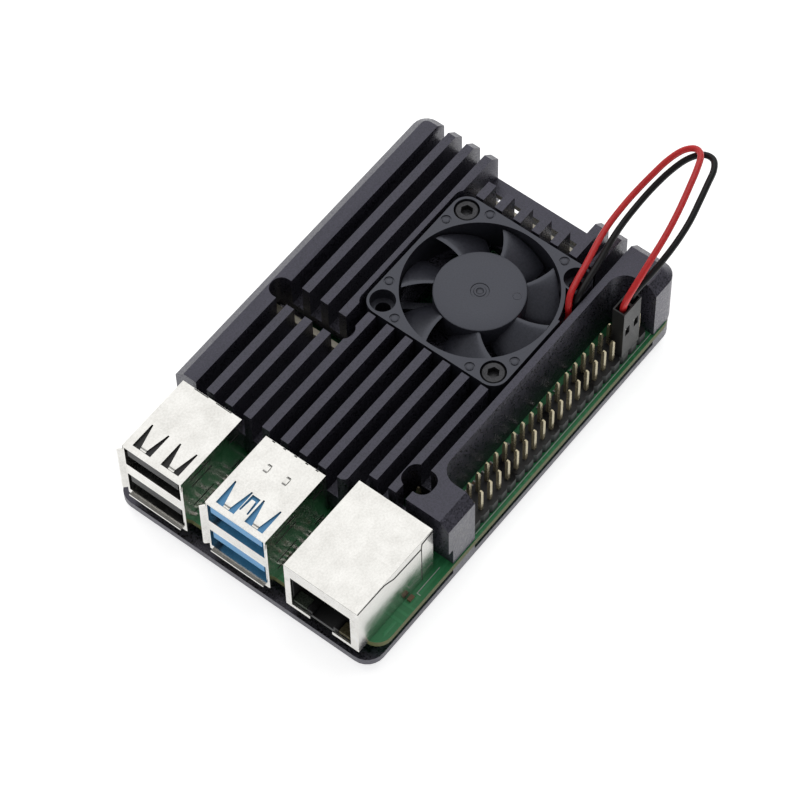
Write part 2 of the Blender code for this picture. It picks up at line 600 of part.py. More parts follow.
def fan_frame():
    half, hole_r, head_r = FAN_SIZE / 2, 1.4, 2.35
    z0, z1 = FAN_Z0, FAN_TOP
    spot = (FAN_X, FAN_Y)
    square = oblong(FAN_X - half, FAN_X + half, FAN_Y - half, FAN_Y + half, 3.0, 8)
    frame = slab("fan_frame", [square], z0, z1)
    corners, marks = [], []
    for sx, sy in ((-1, -1), (-1, 1), (1, -1), (1, 1)):
        corners.append((FAN_X + sx * FAN_HOLE, FAN_Y + sy * FAN_HOLE))
        marks.append((FAN_X + sx * 8.2, FAN_Y + sy * 13.75))
        marks.append((FAN_X + sx * 13.75, FAN_Y + sy * 8.2))
    # the corner where the leads come up is cut away between its boss and the bore's own wall
    wall_r = BORE_R + 0.75
    notch = boxes("fan_lead_notch", (15.0, 21.2, FAN_Y + 10.0, FAN_Y + half + 1, z0 - 1, z1 + 1))
    cut(notch, drums("fan_bore_wall", [spot], wall_r, z0 - 2, z1 + 2, 96))
    cut(
        frame,
        drums("fan_bore", [spot], BORE_R, z0 - 1, z1 + 1, 96),
        drums("fan_corner_holes", corners, hole_r, z0 - 1, z1 + 1, 24),
        drums("fan_head_holes", corners, head_r, z1 - 2.7, z1 + 1, 36),
        drums("fan_marks", marks, 0.95, z1 - 0.2, z1 + 1, 24),
        notch,
    )
    arms = [spoke(angle, 6, BORE_R + 0.4, 0.7) for angle in (35, 145, 215, 305)]
    join(
        frame,
        slab("fan_arms", arms, z0, z0 + 1.1),
        drums("fan_motor_plate", [spot], HUB_R, z0, z0 + 1.2, 64),
        drums("fan_sleeve", [spot], 2.7, z0 + 1.0, z0 + 4.9, 32),
    )
    cut(
        frame,
        drums("fan_sleeve_bore", [spot], 2.05, z0 + 0.8, z1, 32),
        boxes("fan_lead_tunnel", (16.6, 22.6, FAN_Y + 11.0, FAN_Y + half + 1, z0 - 1, z0 + 3.2)),
    )
    finish(frame, "fan_plastic")


def fan_blades():
    """Seven curved sheets; each falls from its leading edge as it runs back round the hub."""
    root_r, tip_r, top, drop = 7.9, 13.85, 13.3, 4.1
    root_lead, sweep = math.radians(37), math.radians(9)
    rows, columns = 5, 6
    bm = bmesh.new()
    for blade in range(BLADES):
        made = bmesh.ops.create_grid(bm, x_segments=rows, y_segments=columns, size=0.5)
        for vert in made["verts"]:
            out, back = vert.co.x + 0.5, vert.co.y + 0.5
            radius = root_r + out * (tip_r - root_r)
            lead = root_lead + sweep * out ** 1.3 + blade * 2 * math.pi / BLADES
            angle = lead - BLADE_SPAN * back
            height = top - drop * back ** 1.2
            x, y = FAN_X + radius * math.cos(angle), FAN_Y + radius * math.sin(angle)
            vert.co = Vector((x, y, height)) * MM
    blades = new_object("fan_blade_sheets", bm)
    thick = blades.modifiers.new("thickness", "SOLIDIFY")
    thick.thickness = 0.7 * MM
    thick.offset = 0.0
    return blades


def fan_motor():
    spot = [(FAN_X, FAN_Y)]
    z0 = FAN_Z0
    cup_low, cup_top, roof = z0 + 1.9, FAN_TOP - 0.4, 1.0
    rotor = drums("fan_rotor", spot, HUB_R, cup_low, cup_top, 72)
    chamfer(rotor, lambda a, b: min(a.z, b.z) > cup_top - 0.01, 0.3)
    join(rotor, fan_blades())
    cut(
        rotor,
        drums("rotor_room", spot, 7.4, cup_low - 1, cup_top - roof, 72),
        drums("rotor_dimple", spot, 1.6, cup_top - 0.15, cup_top + 1, 36),
        drums("rotor_mark", [(FAN_X - 3.1, FAN_Y + 5.8)], 0.95, cup_top - 0.12, cup_top + 1, 24),
    )
    join(rotor, drums("rotor_pip", spot, 0.9, cup_top - 0.5, cup_top - 0.03, 24))
    finish(rotor, "fan_plastic")
    magnet = drums("fan_magnet", spot, 7.3, cup_low + 0.1, cup_top - roof - 0.3, 64)
    cut(magnet, drums("magnet_room", spot, 6.4, cup_low - 1, cup_top, 64))
    finish(magnet, "magnet")
    shaft = finish(drums("fan_shaft", spot, 0.75, z0 + 1.2, cup_top - roof - 0.1, 24), "steel")
    bearing = drums("fan_bearing", spot, 1.95, z0 + 0.9, z0 + 4.6, 32)
    cut(bearing, drums("bearing_bore", spot, 0.85, z0, z0 + 6, 32))
    finish(bearing, "copper")
    hang("fan_axis", FAN_X, FAN_Y, FAN_TOP, rotor, magnet, shaft)
    core = drums("fan_windings", spot, 6.0, z0 + 2.2, z0 + 4.9, 48)
    slots = [spoke(angle, 3.6, 7, 0.8) for angle in (45, 135, 225, 315)]
    cut(
        core,
        drums("windings_bore", spot, 2.8, z0, z0 + 6, 32),
        slab("windings_slots", slots, z0 + 1, z0 + 6),
    )
    finish(core, "copper")
    board = drums("fan_board", spot, 7.0, z0 + 1.25, z0 + 1.8, 48)
    cut(board, drums("fan_board_bore", spot, 2.8, z0, z0 + 3, 32))
    finish(board, "board_green")


# ---------------------------------------------------------------- leads and their plug
LEAD_D = 1.2
RED_ROUTE = [
    (24.6, 39.9, 8.1), (23.0, 42.6, 8.1), (20.9, 44.5, 8.3), (19.0, 45.6, 9.6), (18.3, 45.7, 12.0),
    (17.9, 45.4, 14.0), (16.5, 44.7, 15.5), (13.8, 44.1, 16.1), (10.1, 43.4, 16.3), (5.3, 42.5, 17.0),
    (1.4, 42.1, 17.8), (-2.8, 42.3, 19.1), (-5.9, 42.7, 20.2), (-9.2, 43.4, 21.6), (-12.4, 44.3, 23.1),
    (-14.9, 45.7, 24.5), (-15.9, 47.6, 25.6), (-15.0, 49.4, 26.2), (-12.3, 50.6, 26.3),
    (-8.2, 51.7, 25.6), (-3.8, 52.7, 24.6), (0.6, 53.4, 23.4), (5.4, 53.8, 21.9), (9.4, 54.0, 20.2),
    (12.2, 54.0, 18.5), (13.3, 53.85, 16.5), (13.45, 53.77, 14.8),
]
BLACK_ROUTE = [
    (22.6, 40.3, 8.1), (21.3, 42.1, 8.1), (19.3, 43.8, 8.2), (17.7, 45.0, 9.2), (17.0, 45.5, 11.3),
    (16.6, 45.7, 13.4), (15.6, 45.8, 15.0), (13.2, 45.5, 15.7), (7.9, 44.7, 15.9),
    (3.4, 44.1, 16.8), (-0.4, 43.9, 17.7), (-4.7, 44.1, 18.9), (-8.3, 44.6, 20.2), (-11.7, 45.5, 21.7),
    (-14.6, 46.9, 23.2), (-16.4, 48.9, 24.3), (-16.3, 51.2, 25.0), (-14.4, 52.7, 25.2),
    (-11.4, 53.5, 24.9), (-7.9, 54.3, 24.3), (-3.8, 55.1, 23.4), (0.5, 55.4, 22.3), (4.4, 55.2, 20.9),
    (7.7, 54.7, 19.4), (10.0, 54.1, 17.9), (10.85, 53.8, 16.4), (10.91, 53.77, 14.8),
]


def smooth_path(route, spacing):
    """Points at an even spacing along the Catmull-Rom curve through the route's points."""
    knots = [Vector(p) for p in route]
    knots = [2 * knots[0] - knots[1], *knots, 2 * knots[-1] - knots[-2]]
    fine = []
    for a, b, c, d in zip(knots, knots[1:], knots[2:], knots[3:]):
        for i in range(20):
            t = i / 20
            fine.append(0.5 * (2 * b + (c - a) * t + (2 * a - 5 * b + 4 * c - d) * t * t
                               + (3 * b - a - 3 * c + d) * t ** 3))
    fine.append(knots[-2])
    length = sum((q - p).length for p, q in zip(fine, fine[1:]))
    count = max(2, round(length / spacing))
    path, run, wanted = [fine[0]], 0.0, length / count
    for p, q in zip(fine, fine[1:]):
        step = (q - p).length
        while run + step >= wanted and len(path) < count:
            path.append(p.lerp(q, (wanted - run) / step))
            wanted += length / count
        run += step
    return [*path, fine[-1]]


def lead(name, route, look):
    curve = bpy.data.curves.new(name, "CURVE")
    curve.dimensions = "3D"
    curve.bevel_depth = LEAD_D / 2 * MM
    curve.bevel_resolution = 2
    curve.use_fill_caps = True
    path = smooth_path(route, LEAD_D)
    spline = curve.splines.new("POLY")
    spline.points.add(len(path) - 1)
    for point, place in zip(spline.points, path):
        point.co = (*(place * MM), 1.0)
    obj = bpy.data.objects.new(name, curve)
    obj.location = -ORIGIN * MM
    CUTTERS.objects.link(obj)
    return finish(obj, look)


def fan_plug():
    """A two-way housing on two pins of the header's outer row, with a window for each contact."""
    y, low, top, wall = HEADER_Y + PIN_PITCH / 2, 2.6, 16.2, 0.3
    first = HEADER_X - 9.5 * PIN_PITCH
    centres = [first + PIN_PITCH, first + 2 * PIN_PITCH]
    half = PIN_PITCH / 2
    x0, x1 = centres[0] - half, centres[1] + half
    housing = boxes("fan_plug", (x0, x1, y - half, y + half, low, top))
    pins, mouths, windows = [], [], []
    for x in centres:
        pins.append((x - 0.5, x + 0.5, y - 0.5, y + 0.5, low - 1, 13.5))
        mouths.append((x - half + wall, x + half - wall, y - half + wall, y + half - wall, 13.0, top + 1))
        windows.append((x - 0.6, x + 0.6, y + 0.4, y + half + 1, 8.9, 11.1))
    cut(
        housing,
        boxes("plug_pin_ways", *pins),
        boxes("plug_mouths", *mouths),
        boxes("plug_windows", *windows),
    )
    finish(housing, "black_plastic")


def build():
    heatsink_cover()
    base_plate()
    circuit_board()
    for i, (x, y) in enumerate(HOLES, 1):
        socket_screw(f"case_screw_{i}", x, y, BASE_BOTTOM + 0.15, 3.6, upside_down=True)
    for i, side in enumerate((-1, 1), 1):
        x, y = FAN_X + side * FAN_HOLE, FAN_Y + side * FAN_HOLE
        socket_screw(f"fan_screw_{i}", x, y, FAN_TOP - 0.2, 4.3)
    pin_header("pin_header", HEADER_X, HEADER_Y, 20)
    pin_header("power_over_network_header", 61.25, 46.15, 2)
    usb_stack("usb2", "black_plastic")
    usb_stack("usb3", "blue_plastic")
    network_jack()
    edge_socket("power_socket", 11.2, 4.47, 3.2, -1.2, 6.1, 0.3, (3.3, 1.3, 2.0))
    edge_socket("video_socket_1", 26.0, 3.25, 3.0, -0.9, 6.7, 0.3, (2.3, 1.2, 1.9))
    edge_socket("video_socket_2", 39.5, 3.25, 3.0, -0.9, 6.7, 0.3, (2.3, 1.2, 1.9))
    audio_jack()
    ribbon_connector("camera", 44.0, 47.0, 0.5, 22.5)
    ribbon_connector("display", 2.8, 5.4, 17.0, 39.0)
    card_socket()
    chips()
    fan_frame()
    fan_motor()
    lead("fan_lead_red", RED_ROUTE, "red_cable")
    lead("fan_lead_black", BLACK_ROUTE, "black_cable")
    fan_plug()


build()
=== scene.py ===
# %% [markdown]
# # A single board computer in a finned case
#
# This notebook dresses a small computer: one green circuit board between a finned black
# metal cover and a flat base plate, with a thin fan on top. The solids come from a
# measured model, and every cell below gives one of them its finish or a finer shape.
# Sizes are in metres, except where a helper takes millimetres on the board.

# %% Load the measured model
import math

import bmesh
import bpy
import numpy as np
from mathutils import Matrix, Vector


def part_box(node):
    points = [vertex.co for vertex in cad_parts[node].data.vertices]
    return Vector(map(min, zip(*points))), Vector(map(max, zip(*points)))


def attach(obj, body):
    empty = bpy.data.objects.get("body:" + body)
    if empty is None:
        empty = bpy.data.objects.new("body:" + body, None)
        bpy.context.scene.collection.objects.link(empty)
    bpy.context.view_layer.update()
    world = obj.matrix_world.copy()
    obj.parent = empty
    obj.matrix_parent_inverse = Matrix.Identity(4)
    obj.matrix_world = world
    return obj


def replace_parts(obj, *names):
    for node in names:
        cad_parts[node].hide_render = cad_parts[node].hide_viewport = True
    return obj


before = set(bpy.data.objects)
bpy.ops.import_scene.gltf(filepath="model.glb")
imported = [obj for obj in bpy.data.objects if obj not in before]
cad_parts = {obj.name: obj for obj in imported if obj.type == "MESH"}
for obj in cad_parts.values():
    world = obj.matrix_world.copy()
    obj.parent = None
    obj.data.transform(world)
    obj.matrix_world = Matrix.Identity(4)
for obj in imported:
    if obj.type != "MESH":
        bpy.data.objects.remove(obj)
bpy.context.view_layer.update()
MM = 0.001
board_low, board_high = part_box("circuit_board")
BOARD_CORNER = np.array([board_low.x, board_low.y, board_high.z])


def on_board(points):
    """Board millimetres to metres.

    x runs from the card's edge, y from the power side's edge, and z up from the board's top."""
    return np.asarray(points, float) * MM + BOARD_CORNER


# %% [markdown]
# ## The camera
#
# A long lens far away keeps the fins nearly parallel, which is how such a small thing is
# usually shown. Three unit vectors give the view: right, down and forward. Blender's camera
# looks along its own minus Z with Y up, so two of them change sign.

# %% Place the camera
EYE = (301.175, 238.554, 538.478)
SENSOR, FOCAL_LENGTH = 36.0, 161.74
right = Vector((-0.61403, 0.78914, -0.01488))
down = Vector((0.67657, 0.51654, -0.52482))
forward = Vector((-0.40647, -0.33232, -0.85108))
lens = bpy.data.cameras.new("long_lens")
lens.sensor_width, lens.lens = SENSOR, FOCAL_LENGTH
lens.clip_start, lens.clip_end = 0.01, 20.0
camera = bpy.data.objects.new("camera", lens)
turn = Matrix((right, -down, -forward)).transposed().to_4x4()
camera.matrix_world = Matrix.Translation(on_board(EYE)) @ turn
bpy.context.collection.objects.link(camera)
bpy.context.scene.camera = camera
print("camera at", [round(c, 3) for c in camera.matrix_world.translation])

# %% [markdown]
# ## From points to a piece
#
# A surface is a set of points worked out as whole arrays, and its faces follow from the
# order of the points alone. Every new piece goes through one helper, which merges points
# that coincide, such as those of a pole, and turns all faces outwards. The piece is then
# shaded smooth, except across edges that are sharper than a given angle.


# %% Faces from a grid, and a piece from faces
def grid_faces(rows, columns):
    """Quads between neighbouring rows of points, where each row is a ring that closes."""
    i, j = np.meshgrid(np.arange(rows - 1), np.arange(columns), indexing="ij")
    k = (j + 1) % columns
    corners = [i * columns + j, i * columns + k, (i + 1) * columns + k, (i + 1) * columns + j]
    return np.stack(corners, -1).reshape(-1, 4)


def repeated(quads, size, count):
    """The same faces for each of count copies, where each copy has size points of its own."""
    return (quads[None] + size * np.arange(count)[:, None, None]).reshape(-1, 4)


def dress(obj, looks, body, smooth_below):
    """Links the piece, gives it its finishes, shades it smooth and lets it ride on its body."""
    bpy.context.collection.objects.link(obj)
    for look in looks if isinstance(looks, list) else [looks]:
        obj.data.materials.append(look)
    obj.data.shade_smooth()
    obj.data.set_sharp_from_angle(angle=math.radians(smooth_below))
    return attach(obj, body)


def make_piece(name, points, faces, looks, body="case", smooth_below=40):
    """A mesh object from metres and faces, with its doubles merged and its faces outwards."""
    mesh = bpy.data.meshes.new(name)
    mesh.from_pydata(np.asarray(points).tolist(), [], [list(map(int, f)) for f in faces])
    bm = bmesh.new()
    bm.from_mesh(mesh)
    bmesh.ops.remove_doubles(bm, verts=bm.verts, dist=1e-7)
    bmesh.ops.recalc_face_normals(bm, faces=bm.faces)
    bm.to_mesh(mesh)
    bm.free()
    return dress(bpy.data.objects.new(name, mesh), looks, body, smooth_below)


print("a ring of four points over three rows has", len(grid_faces(3, 4)), "faces")

# %% [markdown]
# ## Softened copies of solids
#
# No real edge is perfectly sharp, and the narrow round on it is what catches the light. A
# measured solid comes as loose triangles, so a copy of it is welded, its flat faces are
# joined, and a Bevel modifier rounds every edge that is sharper than forty degrees.


# %% The softened copy
def softened(node, name, looks, width=0.12, segments=2, paint=None, bend=None):
    """A welded copy of a solid, whose bevels are width millimetres wide.

    paint(centre, normal) picks each face's finish, and bend(points) moves the copy's points."""
    bm = bmesh.new()
    bm.from_mesh(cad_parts[node].data)
    bmesh.ops.remove_doubles(bm, verts=bm.verts, dist=2e-6)
    bmesh.ops.dissolve_limit(bm, angle_limit=math.radians(0.5), verts=bm.verts, edges=bm.edges)
    mesh = bpy.data.meshes.new(name)
    if bend:
        places = bend((np.array([v.co for v in bm.verts]) - BOARD_CORNER) / MM)
        for vert, place in zip(bm.verts, on_board(places)):
            vert.co = place
    if paint:
        for face in bm.faces:
            centre = (np.array(face.calc_center_median()) - BOARD_CORNER) / MM
            face.material_index = paint(centre, face.normal)
    bm.to_mesh(mesh)
    bm.free()
    obj = bpy.data.objects.new(name, mesh)
    dress(obj, looks, "case", 30)
    edge = obj.modifiers.new("edge", "BEVEL")
    edge.width, edge.segments = width * MM, segments
    edge.limit_method, edge.angle_limit = "ANGLE", math.radians(40)
    edge.use_clamp_overlap = True
    edge.harden_normals = True
    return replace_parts(obj, node)


print("board corner at", BOARD_CORNER.round(5))

# %% [markdown]
# ## Helpers for finishes
#
# Each finish is a small network of nodes on Object coordinates, so its grain has a real size
# and stays on the piece when it moves. A broad noise makes the colour and the shine wander a
# little, as they do on anything made in a batch, and a fine noise makes the grain and its
# relief. What is the same all over a piece is set on the shader itself.


# %% Node helpers
def wire(tree, kind, settings=(), **inputs):
    """Adds a node; each input is a number, a colour or the socket that feeds it."""
    node = tree.nodes.new(kind)
    for key, value in dict(settings).items():
        setattr(node, key, value)
    for key, value in inputs.items():
        socket = node.inputs[key.replace("_", " ")]
        if isinstance(value, bpy.types.NodeSocket):
            tree.links.new(value, socket)
        else:
            socket.default_value = value
    return node


def mixed(tree, factor, first, second):
    """A colour between first and second, as the factor's socket goes from 0 to 1."""
    node = wire(tree, "ShaderNodeMix", {"data_type": "RGBA"})
    tree.links.new(factor, node.inputs[0])
    for socket, colour in zip(node.inputs[6:8], (first, second)):
        socket.default_value = (*colour, 1.0)
    return node.outputs[2]


def spread(tree, value, low, high, to_low, to_high):
    """Maps a value from one range to another, held at both ends."""
    node = wire(
        tree, "ShaderNodeMapRange", {"clamp": True}, Value=value,
        From_Min=low, From_Max=high, To_Min=to_low, To_Max=to_high,
    )
    return node.outputs["Result"]


def noise(tree, place, size, detail=3.0, roughness=0.5):
    """A noise whose bumps are about size millimetres across."""
    node = wire(
        tree, "ShaderNodeTexNoise", Vector=place, Scale=1 / (size * MM), Detail=detail,
        Roughness=roughness,
    )
    return node.outputs["Fac"]


def blank(name, **sockets):
    """A new material with its tree, its shader and a socket of Object coordinates."""
    material = bpy.data.materials.new(name)
    material.use_nodes = True
    tree = material.node_tree
    shader = tree.nodes["Principled BSDF"]
    for key, value in sockets.items():
        shader.inputs[key.replace("_", " ")].default_value = value
    place = tree.nodes.new("ShaderNodeTexCoord").outputs["Object"]
    return material, tree, shader, place


print("node helpers ready")

# %% [markdown]
# ## The general finish
#
# Most pieces share one recipe: two noises are added, and the sum sets the colour between a
# dark and a light one and the roughness between a least and a most. A noise rarely leaves
# the middle of its range, so only that middle is spread out, or the colours would hardly
# part. The fine noise alone is the height of the relief.


# %% A finish from two colours
def finish(
    name, dark, light, shine, grain, relief, patch, metal=0.0, speck=0.6, stretch=None, **sockets,
):
    """A finish from two colours, with a fine grain over broad patches.

    shine is the least and the most roughness, grain and patch are the sizes of the two noises
    and relief is their depth, in millimetres, and speck is the grain's share in the sum."""
    material, tree, shader, place = blank(name, Metallic=metal, **sockets)
    if stretch:
        place = wire(tree, "ShaderNodeMapping", Vector=place, Scale=stretch).outputs["Vector"]
    fine = noise(tree, place, grain, 2.0, 0.6)
    broad = noise(tree, place, patch)
    grains = spread(tree, fine, 0.35, 0.65, 0.0, speck)
    patches = spread(tree, broad, 0.3, 0.7, 0.0, 1.0 - speck)
    both = wire(tree, "ShaderNodeMath", {"operation": "ADD"})
    tree.links.new(grains, both.inputs[0])
    tree.links.new(patches, both.inputs[1])
    tree.links.new(mixed(tree, both.outputs[0], dark, light), shader.inputs["Base Color"])
    tree.links.new(spread(tree, both.outputs[0], 0.1, 0.9, *shine), shader.inputs["Roughness"])
    bump = wire(tree, "ShaderNodeBump", Height=fine, Strength=0.6, Distance=relief * MM)
    tree.links.new(bump.outputs["Normal"], shader.inputs["Normal"])
    return material


moulded = finish(
    "black_moulding", (0.005, 0.005, 0.005), (0.014, 0.014, 0.015), (0.36, 0.55), 0.15, 0.008,
    5.0, Specular_IOR_Level=0.4,
)
print("first finish:", moulded.name, "with", len(moulded.node_tree.nodes), "nodes")

# %% [markdown]
# ## The fan's plug
#
# A black two-way plug holds the ends of the fan's leads and sits on two pins of the header.
# Its outer side has two small windows for each lead, in which the tinned contact shows. The
# contacts are plain blocks, so one helper makes all of them in one mesh.


# %% Blocks, the plug and its contacts
def boxes(name, spans, looks, bevel=0.0):
    """Many blocks in one mesh, each given as x0, x1, y0, y1, z0, z1 in board millimetres."""
    spans = np.asarray(spans, float)
    pick = np.array([[a, b, c] for c in (4, 5) for b in (2, 3) for a in (0, 1)])
    points = spans[:, pick].reshape(-1, 3)
    six = np.array([
        [0, 2, 3, 1], [4, 5, 7, 6], [0, 1, 5, 4], [2, 6, 7, 3], [0, 4, 6, 2], [1, 3, 7, 5],
    ])
    obj = make_piece(name, on_board(points), repeated(six, 8, len(spans)), looks)
    if bevel:
        edge = obj.modifiers.new("edge", "BEVEL")
        edge.width, edge.segments = bevel * MM, 2
    return obj


plug = softened("fan_plug", "two_way_plug", moulded, width=0.08)
contact = finish(
    "tinned_contact", (0.45, 0.44, 0.42), (0.7, 0.69, 0.66), (0.2, 0.3), 0.3, 0.002, 2.0,
    metal=1.0,
)
PLUG_COLUMNS, CONTACT_HALF = (10.91, 13.45), 0.4
WINDOWS = ((9.0, 9.9), (10.2, 10.9))
spans = [
    (x - CONTACT_HALF, x + CONTACT_HALF, 54.25, 54.6, low, high)
    for x in PLUG_COLUMNS for low, high in WINDOWS
]
boxes("plug_contacts", spans, contact, bevel=0.08)
print(plug.name, "with", len(spans), "contacts")

# %% [markdown]
# ## The fan's two leads
#
# The leads are thin stranded wire in soft insulation, a red one and a black one. They come
# up between the fan's corner and the cover's wall, stand over the case's end in one open
# loop, and go back down into the plug on the header. Each is a circle carried along a smooth
# curve, and both keep their full measured length.


# %% Smooth paths and tubes
def along(route, count):
    """Evenly spaced points on the smooth Catmull-Rom curve through the route's points.

    Between two points the curve is a cubic, and its slope at each of them is half the way
    from the point before to the point after."""
    knots = np.vstack([2 * route[0] - route[1], route, 2 * route[-1] - route[-2]])
    t = np.linspace(0, 1, 24, endpoint=False)[:, None]
    a, b, c, d = (knots[k:len(knots) - 3 + k, None, :] for k in range(4))
    fine = 2 * b + (c - a) * t + (2 * a - 5 * b + 4 * c - d) * t ** 2
    fine = 0.5 * (fine + (3 * b - a - 3 * c + d) * t ** 3)
    fine = np.vstack([fine.reshape(-1, 3), route[-1]])
    run = np.r_[0, np.cumsum(np.linalg.norm(np.diff(fine, axis=0), axis=1))]
    even = np.linspace(0, run[-1], count)
    return np.stack([np.interp(even, run, fine[:, k]) for k in range(3)], 1)


def tube(name, path, radius, looks, sides=16):
    """A circle carried along a path in board millimetres, closed by a point at both ends.

    The circle stands across the path. Its first direction goes from point to point with what
    lies along the path taken off, which keeps it from twisting."""
    tangent = np.gradient(path, axis=0)
    tangent /= np.linalg.norm(tangent, axis=1)[:, None]
    side = [np.cross(tangent[0], [0.3, 1.0, 0.2])]
    for t in tangent[1:]:
        side.append(side[-1] - t * (side[-1] @ t))
    side = np.array(side) / np.linalg.norm(side, axis=1)[:, None]
    up = np.cross(tangent, side)
    radii = np.r_[0.0, np.full(len(path), radius), 0.0]
    path, side, up = (np.vstack([v[:1], v, v[-1:]]) for v in (path, side, up))
    angle = np.linspace(0, 2 * np.pi, sides, endpoint=False)[None, :, None]
    ring = np.cos(angle) * side[:, None] + np.sin(angle) * up[:, None]
    points = (path[:, None] + radii[:, None, None] * ring).reshape(-1, 3)
    return make_piece(name, on_board(points), grid_faces(len(path), sides), looks)


print("path and tube helpers ready")

# %% The leads from the fan to the plug
LEAD_D = 1.2
RED_ROUTE = np.array([
    (24.6, 39.9, 8.1), (23.0, 42.6, 8.1), (20.9, 44.5, 8.3), (19.0, 45.6, 9.6),
    (18.3, 45.7, 12.0), (17.9, 45.4, 14.0), (16.5, 44.7, 15.5), (13.8, 44.1, 16.1),
    (10.1, 43.4, 16.3), (5.3, 42.5, 17.0), (1.4, 42.1, 17.8), (-2.8, 42.3, 19.1),
    (-5.9, 42.7, 20.2), (-9.2, 43.4, 21.6), (-12.4, 44.3, 23.1), (-14.9, 45.7, 24.5),
    (-15.9, 47.6, 25.6), (-15.0, 49.4, 26.2), (-12.3, 50.6, 26.3), (-8.2, 51.7, 25.6),
    (-3.8, 52.7, 24.6), (0.6, 53.4, 23.4), (5.4, 53.8, 21.9), (9.4, 54.0, 20.2),
    (12.2, 54.0, 18.5), (13.3, 53.85, 16.5), (13.45, 53.77, 14.8),
])
BLACK_ROUTE = np.array([
    (22.6, 40.3, 8.1), (21.3, 42.1, 8.1), (19.3, 43.8, 8.2), (17.7, 45.0, 9.2),
    (17.0, 45.5, 11.3), (16.6, 45.7, 13.4), (15.6, 45.8, 15.0), (13.2, 45.5, 15.7),
    (7.9, 44.7, 15.9), (3.4, 44.1, 16.8), (-0.4, 43.9, 17.7), (-4.7, 44.1, 18.9),
    (-8.3, 44.6, 20.2), (-11.7, 45.5, 21.7), (-14.6, 46.9, 23.2), (-16.4, 48.9, 24.3),
    (-16.3, 51.2, 25.0), (-14.4, 52.7, 25.2), (-11.4, 53.5, 24.9), (-7.9, 54.3, 24.3),
    (-3.8, 55.1, 23.4), (0.5, 55.4, 22.3), (4.4, 55.2, 20.9), (7.7, 54.7, 19.4),
    (10.0, 54.1, 17.9), (10.85, 53.8, 16.4), (10.91, 53.77, 14.8),
])
red_skin = finish(
    "red_insulation", (0.55, 0.014, 0.016), (0.75, 0.03, 0.032), (0.28, 0.4), 0.5, 0.004, 5.0,
    speck=0.35,
)
black_skin = finish(
    "black_insulation", (0.003, 0.003, 0.004), (0.007, 0.007, 0.008), (0.36, 0.48), 0.5, 0.004,
    5.0, speck=0.35, Specular_IOR_Level=0.3,
)
for colour, route, skin, ends in (
    ("red", RED_ROUTE, red_skin, [plug]), ("black", BLACK_ROUTE, black_skin, []),
):
    path = along(route, 160)
    lead = tube(f"lead_{colour}", path, LEAD_D / 2, skin)
    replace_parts(lead, f"fan_lead_{colour}")

# %% [markdown]
# ## Black anodised metal
#
# The cover and the base are cast or milled aluminium, blasted with fine beads and dyed
# black. Close up the surface is a fine sparkle of lighter grains, which makes the flat tops
# of the fins look grey while the grooves stay black. A grain of a third of a millimetre
# and a shallow relief do that, and a narrow bevel gives the fins their bright edges. The
# dye has a faint violet cast, which is set as the tint of the mirrored light.

# %% The cover and the base plate
anodised = finish(
    "black_anodised_metal", (0.002, 0.002, 0.003), (0.052, 0.049, 0.068), (0.26, 0.46), 0.34,
    0.07, 12.0, speck=0.9, Specular_IOR_Level=0.75, Specular_Tint=(0.84, 0.83, 1.0, 1.0),
)
cover = softened("heatsink_cover", "finned_cover", anodised, width=0.13)
base = softened("base_plate", "flat_base", anodised, width=0.15)
print("cover and base:", len(cover.data.polygons), len(base.data.polygons), "faces")

# %% [markdown]
# ## The circuit board
#
# Solder mask is a thin green lacquer over copper, so the tracks under it show as slightly
# lighter, slightly raised lines. They are drawn as two sets of bands at right angles, broken
# up by a cell pattern so that they run in short straight stretches. The cut edge of the
# board is bare glass fibre, a dull yellow green.


# %% Solder mask, bare edge and the board
WAVE_PERIOD, CELL = 0.314, 5.5


def solder_mask(name, ground, track, line_mm=0.4):
    """Green lacquer with straight tracks: each cell of a square pattern takes one direction.

    A wave texture of scale 1 repeats every WAVE_PERIOD metres, and a track takes up about a
    quarter of the distance between two, which is four times line_mm."""
    material, tree, shader, place = blank(name, Roughness=0.32, IOR=1.5)
    cells = wire(
        tree, "ShaderNodeTexVoronoi", {"distance": "CHEBYCHEV"}, Vector=place,
        Scale=1 / (CELL * MM),
    )
    pick = spread(tree, cells.outputs["Color"], 0.45, 0.46, 0.0, 1.0)
    waves = []
    for axis in ("X", "Y"):
        wave = wire(
            tree, "ShaderNodeTexWave", {"bands_direction": axis, "wave_profile": "TRI"},
            Vector=place, Scale=WAVE_PERIOD / (4 * line_mm * MM),
        )
        waves.append(spread(tree, wave.outputs["Fac"], 0.6, 0.7, 0.0, 1.0))
    lines = wire(tree, "ShaderNodeMix")
    for socket, value in zip(lines.inputs[:1] + lines.inputs[2:4], (pick, *waves)):
        tree.links.new(value, socket)
    gate = spread(tree, noise(tree, place, 6.0, 1.0), 0.44, 0.47, 0.0, 1.0)
    shown = wire(tree, "ShaderNodeMath", {"operation": "MULTIPLY"})
    tree.links.new(lines.outputs[0], shown.inputs[0])
    tree.links.new(gate, shown.inputs[1])
    tree.links.new(mixed(tree, shown.outputs[0], ground, track), shader.inputs["Base Color"])
    bump = wire(
        tree, "ShaderNodeBump", Height=shown.outputs[0], Strength=0.6, Distance=0.03 * MM,
    )
    tree.links.new(bump.outputs["Normal"], shader.inputs["Normal"])
    return material


def dress_solid(node, look):
    """Gives a measured solid its finish and leaves its shape alone."""
    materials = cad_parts[node].data.materials
    materials.clear()
    materials.append(look)


